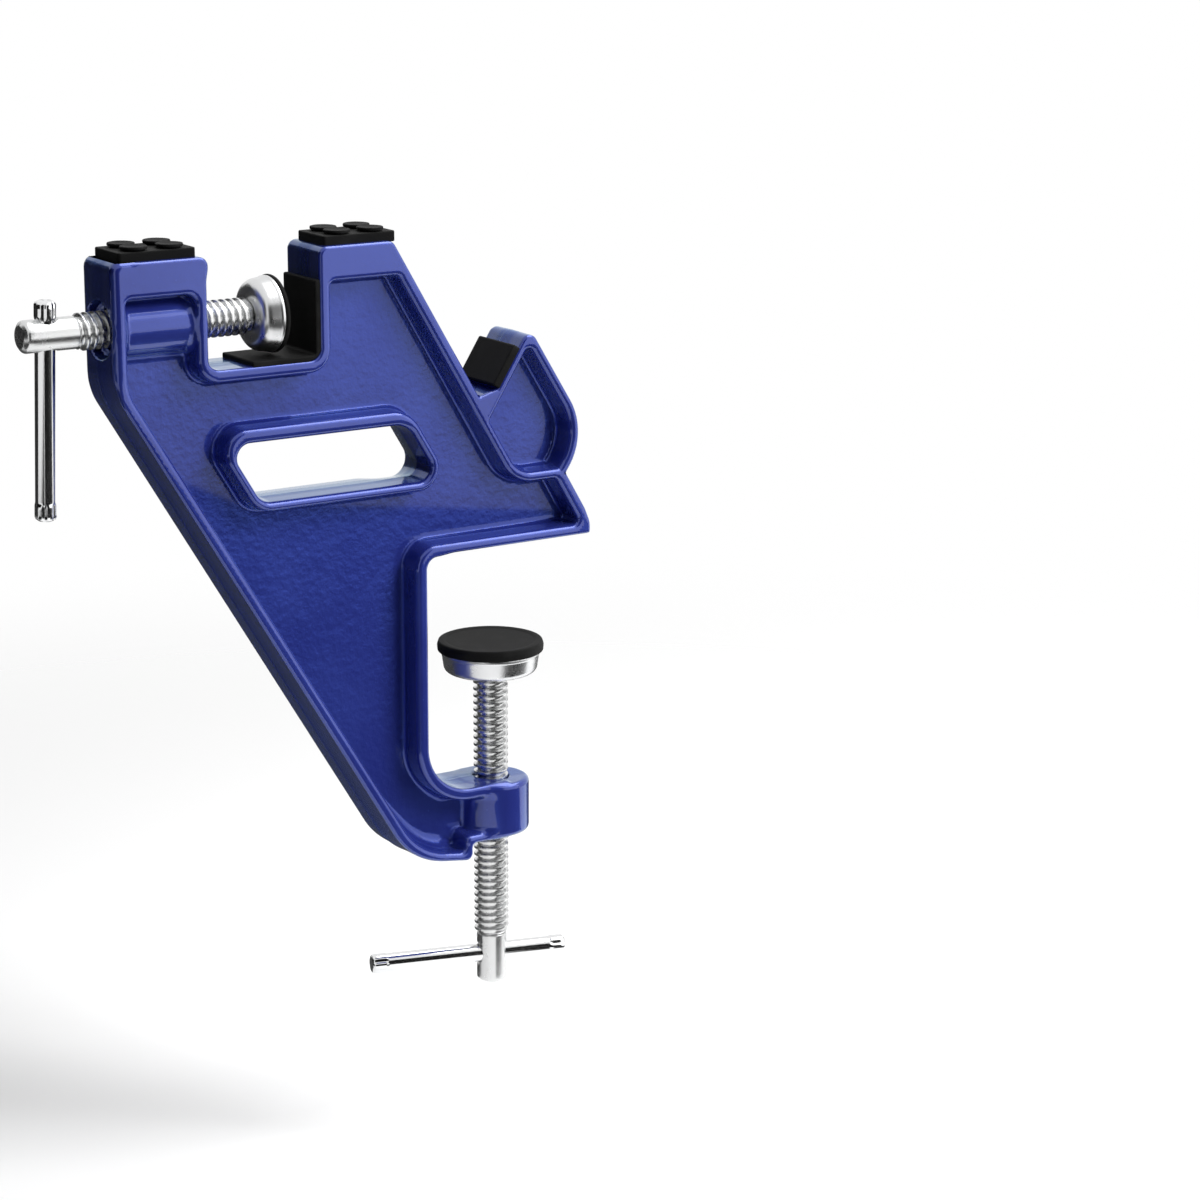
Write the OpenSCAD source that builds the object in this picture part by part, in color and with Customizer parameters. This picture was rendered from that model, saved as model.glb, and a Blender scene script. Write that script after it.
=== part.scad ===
// Ski vise: a cast frame that clamps to a bench edge and grips a ski in its jaw,
// in its V-notch, or lets it lie flat on the two post tops.
// Origin on the bench screw axis at the bench seat. +X runs from the jaw screw's
// handle towards the toe of the seat, +Y to the back, +Z up. Millimetres.

/* [Casting] */
// Depth of the casting from front to back
body_t = 22.5; // [20:0.5:26]
// Thickness of the web in the middle of that depth
web_t = 4.5; // [3:0.5:8]
// Width of the rim round the edges
rim_w = 3.6; // [2.8:0.1:4.4]
// Smallest corner radius inside the pockets
core_r = 2; // [1:0.5:2.5]
// Height of the post tops above the bench seat
top_z = 106.5; // [104:0.5:112]
// Solid height under the post tops
top_wall = 10; // [8:0.5:12]
// Distance of the left face from the bench screw axis
left_x = 142.1; // [138:0.1:148]
// Height above the seat where the left face turns into the long left edge
shoulder_z = 65.2; // [62:0.1:68]
// Radius of that turn
shoulder_r = 20; // [10:1:30]
// Radius of the top corners
top_r = 2.5; // [1:0.1:4]

/* [Jaw] */
// Width of the left post
post_w = 31.7; // [30:0.1:34]
// Opening between the two posts
jaw_w = 40.4; // [38:0.1:44]
// Depth of the jaw below the post tops
jaw_h = 36.4; // [34:0.1:40]
// Radius in the corners of the jaw
jaw_r = 4; // [2:0.5:6]
// Width of the right post's top
right_post_w = 26.7; // [24:0.1:28]
// Height of the jaw screw axis above the jaw floor
jaw_axis_h = 15.2; // [14:0.1:17]
// Radius of the boss that the jaw screw runs through
boss_r = 9.4; // [9:0.1:10.5]
// Radius of the cored mouth in the left face
mouth_r = 9.7; // [8.5:0.1:10.5]
// Radius of the clearance behind the mouth
relief_r = 7.4; // [7:0.1:7.8]
// Depth of that clearance
relief_l = 14; // [8:0.5:18]

/* [Notch and fin] */
// Slope of the right edge, the rib and the toe
right_deg = 59.3; // [58:0.1:60]
// Distance of the notch vertex left of the bench screw axis
notch_x = 7.74; // [6:0.1:10]
// Length of the right edge that the facet in the notch cuts off
notch_low_l = 5.9; // [4:0.1:7]
// Length of the notch's right flank that it cuts off
notch_step_l = 8.7; // [7.5:0.1:8.7]
// Radius at both ends of that facet
notch_r = 1.2; // [0.5:0.1:1.3]
// Slope of the notch's right flank
flank_deg = 57.4; // [56:0.1:59]
// Length of that flank
flank_l = 31.8; // [30:0.1:34]
// Radius of the fin's tip
tip_r = 2.8; // [2:0.1:3.4]
// Width of the rim round the fin
fin_rim_w = 2.6; // [2:0.1:3.6]
// Slope of the fin's outer edge
fin_deg = 58.2; // [57:0.1:60]
// Radius of the fin's round side
belly_r = 20.8; // [20:0.1:22]
// Height of that round side's centre above the seat
belly_z = 36.38; // [35:0.1:38]
// Angle below level at which the round side ends
belly_deg = 41.4; // [38:0.1:44]
// Thickness of the rib between the pockets
rib_w = 3.5; // [3:0.1:4.5]
// Radius of the rib's bend on its lower side
rib_bend_r = 14; // [10:0.5:16]

/* [Hand slot] */
// Height of the slot's middle above the seat
slot_z = 36.1; // [34:0.1:38]
// Height of the slot
slot_h = 20.9; // [18:0.1:23]
// Width of the slot along its middle
slot_w = 66.9; // [62:0.1:70]
// Distance of the slot's left end from the bench screw axis, at its middle
slot_x = 98.5; // [96:0.1:100]
// Width of the rim round the slot
slot_rim_w = 2.9; // [2:0.1:4]
// Width of that rim above the slot
slot_top_rim_w = 3.9; // [2:0.1:5]
// Radius in the slot's two sharp corners
slot_sharp_r = 4.7; // [3:0.1:6]
// Radius in its lower left corner
slot_low_r = 6.8; // [4:0.1:8]
// Radius in its upper right corner
slot_high_r = 9; // [5:0.1:9.5]

/* [Bench throat] */
// Reach of the bench seat from the screw axis to its toe
toe_x = 34.3; // [33:0.1:36]
// Radius where the toe turns down to the seat
toe_r = 6; // [3:0.5:8]
// Radius of the seat's outer edge
toe_edge_r = 1; // [0.5:0.1:1.5]
// Depth of the throat from the screw axis to its wall
throat_x = 31.7; // [30:0.1:34]
// Height of the throat from the seat down to the lug
throat_h = 84.3; // [82:0.1:90]
// Radius where the throat's wall meets the seat
throat_r = 4.5; // [2:0.5:7]
// Radius where the throat's wall meets the lug
throat_low_r = 17.4; // [14:0.1:18]
// Width of the leg behind the throat, level with the lug's top
leg_w = 19.5; // [18:0.1:22]
// Radius of the lug round the bench screw
lug_r = 13.2; // [12:0.1:15]
// Height of the lug
lug_h = 19; // [17:0.5:20]
// Height from the lug's top down to the casting's foot
heel_h = 25.1; // [24:0.1:28]
// Distance of the foot's end from the bench screw axis
heel_x = 14.4; // [13.6:0.1:16]
// Radius of the foot's end and of the corner above it
heel_end_r = 2; // [1:0.1:2.5]
// Slope of the foot's lower edge
heel_deg = 6; // [0:0.5:12]
// Radius of the foot's long round corner
heel_r = 27; // [24:0.5:30]
// Width of the rim round the foot
foot_rim_w = 2.3; // [1.5:0.1:3.6]

/* [Screws] */
// Outer radius of the thread
thread_r = 6; // [5.7:0.1:6.3]
// Distance from one turn of the thread to the next
pitch = 2.5; // [2:0.1:3]
// Radial clearance round the thread in the casting
thread_gap = 0.2; // [0.15:0.05:0.3]
// Radius of the smooth head
head_r = 5.2; // [4.9:0.1:5.6]
// Chamfer on the head's end
head_chamfer = 1; // [0.5:0.1:1.5]
// Radius of the journal inside the foot
journal_r = 4; // [3.6:0.1:4.3]
// Length of the jaw screw's threaded part, from the back of its foot
jaw_thread_l = 60.85; // [56:0.05:64]
// Length of the jaw screw's head
jaw_head_l = 17.7; // [16:0.1:20]
// Distance of the jaw bar's hole from the end of the thread
jaw_hole_l = 9.6; // [8:0.1:10]
// Length of the bench screw's threaded part, from the back of its foot
bench_thread_l = 95.5; // [90:0.5:100]
// Length of the bench screw's head
bench_head_l = 18; // [16:0.1:20]
// Distance of the bench bar's hole from the end of the thread
bench_hole_l = 7.5; // [7:0.1:10]

/* [Handle bars] */
// Radius of a bar
bar_r = 3.25; // [3:0.05:3.5]
// Length of a bar
bar_l = 70.2; // [60:0.1:80]
// How far the crimps at its ends stand out of a bar
crimp_out = 0.25; // [0.2:0.05:0.4]
// Length of a crimped end
crimp_l = 5.3; // [4:0.1:7]
// Chamfer on a bar's ends
bar_chamfer = 0.7; // [0.3:0.1:1.2]
// Radial clearance of a bar in its hole
bar_gap = 0.1; // [0.05:0.05:0.15]
// Clearance between a crimp and the head that it stops on
stop_gap = 0.2; // [0.1:0.05:0.3]
// Tilt of the hanging jaw bar about its screw
jaw_bar_deg = 4.7; // [0:0.1:10]
// Short side of the bench bar, from the screw axis
bench_bar_out = 26.5; // [15:0.5:35]
// Turn of the bench bar about its screw
bench_bar_deg = 16; // [0:1:30]

/* [Feet] */
// Radius of the jaw foot's metal cup
jaw_cup_r = 12.4; // [11.8:0.1:13]
// Length of that cup
jaw_cup_h = 7.25; // [6.5:0.05:8.5]
// Radius of its rounded back edge
jaw_cup_round = 2.7; // [1:0.1:3.5]
// Radius of the jaw foot's rubber
jaw_rubber_r = 12.74; // [12.5:0.02:13.5]
// Thickness of rubber that shows
jaw_rubber_t = 1.65; // [1.2:0.05:3]
// Radius of the bench foot's metal cup
bench_cup_r = 17.07; // [16.5:0.01:17.8]
// Height of that cup
bench_cup_h = 7.6; // [6.5:0.1:9]
// Radius of its rounded lower edge
bench_cup_round = 1.6; // [1:0.1:3.5]
// Radius of the bench foot's rubber
bench_rubber_r = 18.4; // [17.6:0.1:19.5]
// Thickness of rubber that shows
bench_rubber_t = 3.7; // [2.5:0.1:5]
// Thickness of the cups' metal
cup_t = 1.5; // [1:0.1:1.8]
// Rounding of the rubbers' edges
rubber_round = 0.6; // [0.3:0.1:1.1]
// Length of the rubber plug pressed into a cup
plug_l = 4.6; // [3:0.1:4.8]
// Radius of the hollow in that plug
plug_hollow_r = 8; // [7.6:0.1:9]
// Radius of the washer in a cup
washer_r = 7; // [6:0.1:7.3]
// Thickness of that washer
washer_t = 1; // [0.6:0.1:1.2]
// Outer radius of the retaining clip
clip_r = 5.6; // [5.2:0.1:6.2]
// Thickness of the clip
clip_t = 0.8; // [0.6:0.1:1]
// Depth of the clip's groove in the journal
groove_d = 0.5; // [0.3:0.1:0.8]
// Opening of the clip
clip_mouth = 3; // [2:0.1:4]
// Length of the journal past the clip
journal_lip = 1; // [0.6:0.1:1.2]
// Radial running clearance of a journal
journal_gap = 0.1; // [0.05:0.01:0.15]
// End clearance between a screw and its cup
end_gap = 0.25; // [0.15:0.05:0.3]
// Distance from the jaw rubber to the jaw pad as shown
jaw_open = 9.75; // [2:0.25:12]
// Distance from the seat to the bench rubber as shown
bench_open = 35.1; // [10:0.1:40]

/* [Rubber pads] */
// Length of a top pad
top_pad_l = 26.6; // [24:0.1:28]
// Width of the top pads
top_pad_w = 17.6; // [17:0.1:20]
// Thickness of the top pads
top_pad_t = 3.5; // [2:0.1:4]
// Inset of the left top pad from the left face
left_pad_in = 2.4; // [1.5:0.1:3]
// Inset of the right top pad from the jaw
right_pad_in = 2.4; // [1.5:0.1:3]
// Radius of a stud on the pads
stud_r = 4.4; // [3.8:0.05:4.4]
// Thickness of a stud's disc
stud_t = 1; // [0.6:0.1:1.4]
// Radius of a stud's neck
neck_r = 3.4; // [2.6:0.1:3.7]
// Height of a stud's neck
neck_h = 0.4; // [0.3:0.1:1.2]
// Distance between studs along a pad
stud_step_x = 12.3; // [11:0.1:14]
// Distance between studs across a pad
stud_step_y = 8.9; // [8.9:0.1:9.2]
// Width of the jaw pad
jaw_pad_w = 21.6; // [20:0.1:22.4]
// Thickness of the jaw pad
jaw_pad_t = 2.1; // [1.5:0.1:3]
// Height of the jaw pad's upright leg
jaw_pad_h = 26.4; // [24:0.1:30]
// Length of the jaw pad's flat leg
jaw_pad_l = 25; // [20:0.1:28]
// Radius inside the bend of the jaw pad
jaw_pad_r = 1; // [0.4:0.1:1.2]
// Width of the notch pad
notch_pad_w = 22.4; // [18:0.1:22.4]
// Thickness of the notch pad
notch_pad_t = 3; // [2:0.1:4]
// Length of the notch pad
notch_pad_l = 15.3; // [12:0.1:16]
// Distance of the notch pad from the notch vertex
notch_pad_in = 9.2; // [9.2:0.1:11]

/* [Hidden] */
$fn = 96;

// Overrun of every cut past the face that it opens
overrun = body_t;
// Largest angle between two points of a rounded corner
arc_step_deg = 10;
// Directions of travel in the x, z plane of the outline
RIGHT = [1, 0];
DOWN = [0, -1];

// Shares of the pitch taken by the root and by the two slopes of a thread ring
root_share = 0.2;
slope_share = 0.3;
// Depth of the thread as a share of its pitch
thread_depth_share = 0.54;

// Heights and places of the casting's edges, all from the origin
floor_z = top_z - jaw_h;
jaw_z = floor_z + jaw_axis_h;
post_x = -left_x + post_w;
face_x = post_x + jaw_w;
right_top_x = face_x + right_post_w;
lug_z = -throat_h;
lug_low_z = lug_z - lug_h;
heel_z = lug_z - heel_h;
// Slope of the long left edge
left_deg = atan((shoulder_z - lug_z) / (left_x - throat_x - leg_w));

// A direction in the plane at an angle from +x
function along(a) = [cos(a), sin(a)];
function unit(v) = v / norm(v);
// The inward side of an edge of a clockwise outline
function inward(d) = [d[1], -d[0]];
function spin(v, a) = [v[0] * cos(a) - v[1] * sin(a), v[0] * sin(a) + v[1] * cos(a)];
// Where the line through p along d meets the line through q along e
function meet(p, d, q, e) = p + d * cross(q - p, e) / cross(d, e);
function arc(c, r, a, b) =
    let (n = max(1, ceil(abs(b - a) / arc_step_deg)))
    [for (i = [0:n]) c + r * along(a + (b - a) * i / n)];

// The points of one corner p of radius r, between its neighbours a and b
function bend(a, p, b, r) =
    r == 0 ? [p] :
    let (
        u = unit(a - p), v = unit(b - p), half = acos(u * v) / 2,
        c = p + unit(u + v) * r / sin(half),
        s = p + u * r / tan(half) - c,
        sweep = (180 - 2 * half) * sign(cross(u, v)) * -1,
        n = ceil(abs(sweep) / arc_step_deg)
    )
    [for (i = [0:n]) c + spin(s, sweep * i / n)];
// The points of a chain's inner corners; each corner is [point, radius]
function bends(chain) = [
    for (i = [1:len(chain) - 2])
        each bend(chain[i - 1][0], chain[i][0], chain[i + 1][0], chain[i][1])
];
function closed(corners) =
    bends(concat([corners[len(corners) - 1]], corners, [corners[0]]));
// Corners of a pocket from [corner, wall of the edge that leaves it, radius] triples
function walls(frame) = [
    for (i = [0:len(frame) - 1])
        let (
            n = len(frame), before = frame[(i + n - 1) % n], here = frame[i],
            d = unit(here[0] - before[0]), e = unit(frame[(i + 1) % n][0] - here[0])
        )
        [meet(here[0] + inward(d) * before[1], d, here[0] + inward(e) * here[1], e), here[2]]
];

// The main lines and points of the outline
right_dir = along(-right_deg);
flank_dir = along(flank_deg);
fin_dir = along(-fin_deg);
right_top = [right_top_x, top_z];
notch = meet(right_top, right_dir, [-notch_x, 0], DOWN);
tip = notch + flank_l * flank_dir;
belly_a = 90 - fin_deg;
belly_c = meet(tip + belly_r * inward(fin_dir), fin_dir, [0, belly_z], RIGHT);
waist = belly_c + belly_r * along(-belly_deg);
toe = meet(waist, right_dir, [toe_x, 0], DOWN);
knee = meet(right_top, right_dir, waist, RIGHT);
heel = meet([-left_x, shoulder_z], along(-left_deg), [-heel_x, heel_z], along(-heel_deg));

outline = concat(
    bends([
        [waist, 0],
        [toe, toe_r],
        [[toe_x, 0], toe_edge_r],
        [[-throat_x, 0], throat_r],
        [[-throat_x, lug_z], throat_low_r],
        [[0, lug_z], 0],
        [[0, lug_low_z], 0],
        [[-heel_x, lug_low_z], heel_end_r],
        [[-heel_x, heel_z], heel_end_r],
        [heel, heel_r],
        [[-left_x, shoulder_z], shoulder_r],
        [[-left_x, top_z], top_r],
        [[post_x, top_z], jaw_r],
        [[post_x, floor_z], jaw_r],
        [[face_x, floor_z], jaw_r],
        [[face_x, top_z], top_r],
        [right_top, top_r],
        [notch - notch_low_l * right_dir, notch_r],
        [notch + notch_step_l * flank_dir, notch_r],
        [tip, tip_r],
        [belly_c + belly_r * along(belly_a), 0],
    ]),
    arc(belly_c, belly_r, belly_a, -belly_deg)
);

// The large pocket: the window of the left post, the right post and the body.
// It runs into the lug, which fills it again.
main_pocket = closed(walls([
    [[-left_x, top_z], top_wall, core_r],
    [[post_x, top_z], rim_w, jaw_r],
    [[post_x, floor_z], rim_w, jaw_r + rim_w],
    [[face_x, floor_z], rim_w, jaw_r + rim_w],
    [[face_x, top_z], top_wall, core_r],
    [right_top, rim_w, core_r],
    [knee, rib_w / 2, rib_bend_r],
    [waist, rim_w, core_r],
    [meet(waist, right_dir, [0, 0], RIGHT), rim_w, core_r],
    [[-throat_x, 0], rim_w, throat_r + rim_w],
    [[-throat_x, lug_z], rim_w, throat_low_r + rim_w],
    [[-thread_r, lug_z], 0, core_r],
    [[-thread_r, lug_low_z], foot_rim_w, core_r],
    [[-heel_x, lug_low_z], foot_rim_w, core_r],
    [[-heel_x, heel_z], foot_rim_w, core_r],
    [heel, rim_w, heel_r - foot_rim_w],
    [[-left_x, shoulder_z], rim_w, shoulder_r - rim_w],
]));

// The pocket in the fin, above the rib
belly_in_r = belly_r - fin_rim_w;
rib_top = [0, waist[1] + rib_w / 2];
belly_in_deg = asin((belly_z - rib_top[1]) / belly_in_r);
rib_side = right_top + inward(right_dir) * (rim_w - rib_w);
flank_side = notch + inward(flank_dir) * fin_rim_w;
fin_side = tip + inward(fin_dir) * fin_rim_w;
fin_pocket = concat(
    bends([
        [belly_c + belly_in_r * along(-belly_in_deg), 0],
        [meet(rib_side, right_dir, rib_top, RIGHT), rib_bend_r - rib_w],
        [meet(rib_side, right_dir, flank_side, flank_dir), core_r],
        [meet(flank_side, flank_dir, fin_side, fin_dir), core_r],
        [belly_c + belly_in_r * along(belly_a), 0],
    ]),
    arc(belly_c, belly_in_r, belly_a, -belly_in_deg)
);

slot_lean = slot_h / 2 / tan(left_deg);
slot_right = slot_w - slot_x;
slot_frame = [
    [[-slot_x - slot_lean, slot_z + slot_h / 2], 0, slot_sharp_r],
    [[slot_right - slot_lean, slot_z + slot_h / 2], 0, slot_high_r],
    [[slot_right + slot_lean, slot_z - slot_h / 2], 0, slot_sharp_r],
    [[-slot_x + slot_lean, slot_z - slot_h / 2], 0, slot_low_r],
];
slot = closed(walls(slot_frame));
slot_rim = closed(walls([
    for (i = [0:len(slot_frame) - 1])
        let (c = slot_frame[i])
        [c[0], i == 0 ? -slot_top_rim_w : -slot_rim_w, c[2] + slot_rim_w]
]));

// Places of the two feet: the backs of their cups
jaw_foot_x = face_x - jaw_pad_t - jaw_open - jaw_rubber_t - jaw_cup_h;
bench_foot_z = -bench_open - bench_rubber_t - bench_cup_h;
// Heights inside a cup, from the back of the cup
washer_z = cup_t + end_gap;
clip_z = washer_z + washer_t;
journal_z = clip_z + clip_t + journal_lip;
root_r = thread_r - thread_depth_share * pitch;
crimp_r = bar_r + crimp_out;
// Distance of the jaw bar's upper end from its screw, when it hangs on its stop
jaw_bar_up = head_r + stop_gap + crimp_l;

// A plate in the x, z plane, centred on y = 0
module plate(points, depth)
    rotate([90, 0, 0]) linear_extrude(depth, center = true) polygon(points);

module pocket_plate(depth)
    rotate([90, 0, 0]) linear_extrude(depth, center = true) difference() {
        union() {
            polygon(main_pocket);
            polygon(fin_pocket);
        }
        polygon(slot_rim);
    }

module on_jaw() translate([jaw_foot_x, 0, jaw_z]) rotate([0, 90, 0]) children();
module on_bench() translate([0, 0, bench_foot_z]) children();
// A round piece along the jaw screw axis, from the left face inwards
module from_left_face(l, r_out, r_in)
    translate([-left_x, 0, jaw_z]) rotate([0, 90, 0]) cylinder(l, r_out, r_in);

module cast_frame() color("mediumblue") difference() {
    union() {
        difference() {
            plate(outline, body_t);
            for (side = [-1, 1])
                translate([0, side * (web_t + overrun) / 2, 0]) pocket_plate(overrun);
        }
        from_left_face(post_w, boss_r, boss_r);
        translate([0, 0, lug_low_z]) cylinder(lug_h, r = lug_r);
    }
    plate(slot, body_t + overrun);
    from_left_face(rim_w, mouth_r, relief_r);
    from_left_face(relief_l, relief_r, relief_r);
    from_left_face(post_w + overrun, thread_r + thread_gap, thread_r + thread_gap);
    translate([0, 0, lug_low_z - overrun]) cylinder(lug_h + 2 * overrun, r = thread_r + thread_gap);
}

module top_pad(x) color("dimgray") translate([x, 0, top_z]) {
    translate([0, -top_pad_w / 2, 0]) cube([top_pad_l, top_pad_w, top_pad_t]);
    for (sx = [-1, 1], sy = [-1, 1])
        translate([(top_pad_l + sx * stud_step_x) / 2, sy * stud_step_y / 2, top_pad_t]) {
            cylinder(neck_h, r = neck_r);
            translate([0, 0, neck_h]) cylinder(stud_t, r = stud_r);
        }
}
module left_top_pad() top_pad(-left_x + left_pad_in);
module right_top_pad() top_pad(face_x + right_pad_in);

module jaw_pad() color("black") plate(closed([
    [[face_x, floor_z], jaw_r + jaw_pad_t / 2],
    [[face_x - jaw_pad_l, floor_z], 0],
    [[face_x - jaw_pad_l, floor_z + jaw_pad_t], 0],
    [[face_x - jaw_pad_t, floor_z + jaw_pad_t], jaw_pad_r],
    [[face_x - jaw_pad_t, floor_z + jaw_pad_h], 0],
    [[face_x, floor_z + jaw_pad_h], 0],
]), jaw_pad_w);

module notch_pad() color("black")
    translate([notch[0], 0, notch[1]]) rotate([0, -flank_deg, 0])
        translate([notch_pad_in, -notch_pad_w / 2, 0]) cube([notch_pad_l, notch_pad_w, notch_pad_t]);

// A screw with its foot at the top: journal, thread of close rings, cross-drilled head
module screw(thread_l, head_l, hole_l) color("silver") difference() {
    rings = floor((thread_l - end_gap) / pitch);
    rotate_extrude() polygon(concat(
        [
            [0, journal_z],
            [journal_r, journal_z],
            [journal_r, clip_z + clip_t],
            [journal_r - groove_d, clip_z + clip_t],
            [journal_r - groove_d, clip_z],
            [journal_r, clip_z],
            [journal_r, -end_gap],
            [root_r, -end_gap],
        ],
        [
            for (i = [0:rings - 1])
                let (z = -end_gap - i * pitch)
                each [
                    [root_r, z - root_share * pitch],
                    [thread_r, z - (root_share + slope_share) * pitch],
                    [thread_r, z - (1 - slope_share) * pitch],
                    [root_r, z - pitch],
                ]
        ],
        [
            [root_r, -thread_l],
            [head_r, -thread_l],
            [head_r, -thread_l - head_l + head_chamfer],
            [head_r - head_chamfer, -thread_l - head_l],
            [0, -thread_l - head_l],
        ]
    ));
    translate([0, 0, -thread_l - hole_l])
        rotate([90, 0, 0]) cylinder(2 * head_r + overrun, r = bar_r + bar_gap, center = true);
}

// A bar along z with its upper end at the given height
module bar(up) color("silver") translate([0, 0, up - bar_l]) rotate_extrude() polygon([
    [0, 0],
    [crimp_r - bar_chamfer, 0],
    [crimp_r, bar_chamfer],
    [crimp_r, crimp_l],
    [bar_r, crimp_l],
    [bar_r, bar_l - crimp_l],
    [crimp_r, bar_l - crimp_l],
    [crimp_r, bar_l - bar_chamfer],
    [crimp_r - bar_chamfer, bar_l],
    [0, bar_l],
]);

module cup(r, h, edge_r) color("gainsboro") rotate_extrude() polygon(concat(
    [[journal_r + journal_gap, 0]],
    arc([r - edge_r, edge_r], edge_r, -90, 0),
    [
        [r, h],
        [r - cup_t, h],
        [r - cup_t, cup_t],
        [journal_r + journal_gap, cup_t],
    ]
));

// The rubber of a foot: a disc that shows and a hollow plug in the cup
module rubber(r, t, cup_r, cup_h) color("black") rotate_extrude() polygon(concat(
    [
        [0, cup_h],
        [plug_hollow_r, cup_h],
        [plug_hollow_r, cup_h - plug_l],
        [cup_r - cup_t, cup_h - plug_l],
        [cup_r - cup_t, cup_h],
    ],
    arc([r - rubber_round, cup_h + rubber_round], rubber_round, -90, 0),
    arc([r - rubber_round, cup_h + t - rubber_round], rubber_round, 0, 90),
    [[0, cup_h + t]]
));

module washer() color("silver") translate([0, 0, washer_z]) difference() {
    cylinder(washer_t, r = washer_r);
    translate([0, 0, -overrun]) cylinder(2 * overrun, r = journal_r + journal_gap);
}
module clip() color("dimgray") translate([0, 0, clip_z]) difference() {
    cylinder(clip_t, r = clip_r);
    translate([0, 0, -overrun]) cylinder(2 * overrun, r = journal_r - groove_d + journal_gap);
    translate([0, -clip_mouth / 2, -overrun]) cube([clip_r + overrun, clip_mouth, 2 * overrun]);
}

module jaw_screw() on_jaw() rotate([0, 0, 90 + jaw_bar_deg])
    screw(jaw_thread_l, jaw_head_l, jaw_hole_l);
module jaw_bar() on_jaw() translate([0, 0, -jaw_thread_l - jaw_hole_l])
    rotate([0, 0, jaw_bar_deg]) rotate([0, -90, 0]) bar(jaw_bar_up);
module jaw_cup() on_jaw() cup(jaw_cup_r, jaw_cup_h, jaw_cup_round);
module jaw_rubber() on_jaw() rubber(jaw_rubber_r, jaw_rubber_t, jaw_cup_r, jaw_cup_h);
module jaw_washer() on_jaw() washer();
module jaw_clip() on_jaw() clip();

module bench_screw() on_bench() rotate([0, 0, 90 - bench_bar_deg])
    screw(bench_thread_l, bench_head_l, bench_hole_l);
module bench_bar() on_bench() translate([0, 0, -bench_thread_l - bench_hole_l])
    rotate([0, 0, -bench_bar_deg]) rotate([0, 90, 0]) bar(bench_bar_out);
module bench_cup() on_bench() cup(bench_cup_r, bench_cup_h, bench_cup_round);
module bench_rubber() on_bench() rubber(bench_rubber_r, bench_rubber_t, bench_cup_r, bench_cup_h);
module bench_washer() on_bench() washer();
module bench_clip() on_bench() clip();

cast_frame();
left_top_pad();
right_top_pad();
jaw_pad();
notch_pad();
jaw_screw();
jaw_bar();
jaw_cup();
jaw_rubber();
jaw_washer();
jaw_clip();
bench_screw();
bench_bar();
bench_cup();
bench_rubber();
bench_washer();
bench_clip();
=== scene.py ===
"""A cast ski vise: the painted frame, its rubber pads, and two screws with their handle bars and feet."""

import math
from itertools import product

import bmesh
import bpy
import numpy as np
from mathutils import Euler, Matrix, Vector

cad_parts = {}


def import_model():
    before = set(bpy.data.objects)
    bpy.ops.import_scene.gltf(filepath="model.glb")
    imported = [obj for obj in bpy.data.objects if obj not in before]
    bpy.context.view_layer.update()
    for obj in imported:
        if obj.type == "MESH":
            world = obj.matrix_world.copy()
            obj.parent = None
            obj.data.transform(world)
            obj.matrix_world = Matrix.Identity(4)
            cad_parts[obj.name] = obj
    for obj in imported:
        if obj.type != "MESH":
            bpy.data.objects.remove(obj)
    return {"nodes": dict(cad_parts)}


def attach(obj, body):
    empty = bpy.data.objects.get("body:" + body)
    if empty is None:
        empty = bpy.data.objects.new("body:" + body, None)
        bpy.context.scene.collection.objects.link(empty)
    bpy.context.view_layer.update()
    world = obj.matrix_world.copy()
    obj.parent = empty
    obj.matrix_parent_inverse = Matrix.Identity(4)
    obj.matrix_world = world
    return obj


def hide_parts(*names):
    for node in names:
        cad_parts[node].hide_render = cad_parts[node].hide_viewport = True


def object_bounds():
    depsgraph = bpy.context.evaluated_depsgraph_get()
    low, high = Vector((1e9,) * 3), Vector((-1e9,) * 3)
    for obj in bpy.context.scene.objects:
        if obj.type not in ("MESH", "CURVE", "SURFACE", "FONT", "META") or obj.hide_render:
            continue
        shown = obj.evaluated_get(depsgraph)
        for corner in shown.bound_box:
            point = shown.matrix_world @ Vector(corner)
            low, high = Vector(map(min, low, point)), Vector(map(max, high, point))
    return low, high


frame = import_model()
cad_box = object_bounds()

# Sizes are in millimetres, and a mesh is scaled to metres when it is made
MM = 0.001

# Casting: depth, web, rims and corners
BODY_T = 22.5
WEB_T = 4.5
RIM_W = 3.6
CORE_R = 2.0
TOP_Z = 106.5
TOP_WALL = 10.9
LEFT_X = 142.1
SHOULDER_Z = 65.2
SHOULDER_R = 20.0
TOP_R = 2.5
POST_W = 31.7
JAW_W = 40.4
JAW_H = 36.4
JAW_R = 4.0
RIGHT_POST_W = 26.7
JAW_AXIS_H = 15.2
BOSS_R = 9.4
MOUTH_R = 9.2
RELIEF_R = 7.4
RELIEF_L = 14.0
BOSS_IN = 1.0

# Notch and fin
RIGHT_DEG = 59.3
NOTCH_X = 7.74
NOTCH_LOW_L = 5.9
NOTCH_STEP_L = 8.7
NOTCH_R = 1.2
FLANK_DEG = 57.4
FLANK_L = 31.8
TIP_R = 2.8
WAIST_R = 1.2
FIN_RIM_W = 2.6
FIN_LOW_R = 0.8
FIN_DEG = 58.2
BELLY_R = 20.8
BELLY_Z = 36.38
BELLY_DEG = 41.4
RIB_W = 3.2
RIB_BEND_R = 14.0

# Hand slot
SLOT_Z = 35.75
SLOT_H = 20.2
SLOT_W = 66.9
SLOT_X = 98.5
SLOT_RIM_W = 2.9
SLOT_TOP_RIM_W = 4.6
SLOT_SHARP_R = 4.7
SLOT_LOW_R = 6.8
SLOT_HIGH_R = 9.0

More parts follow.
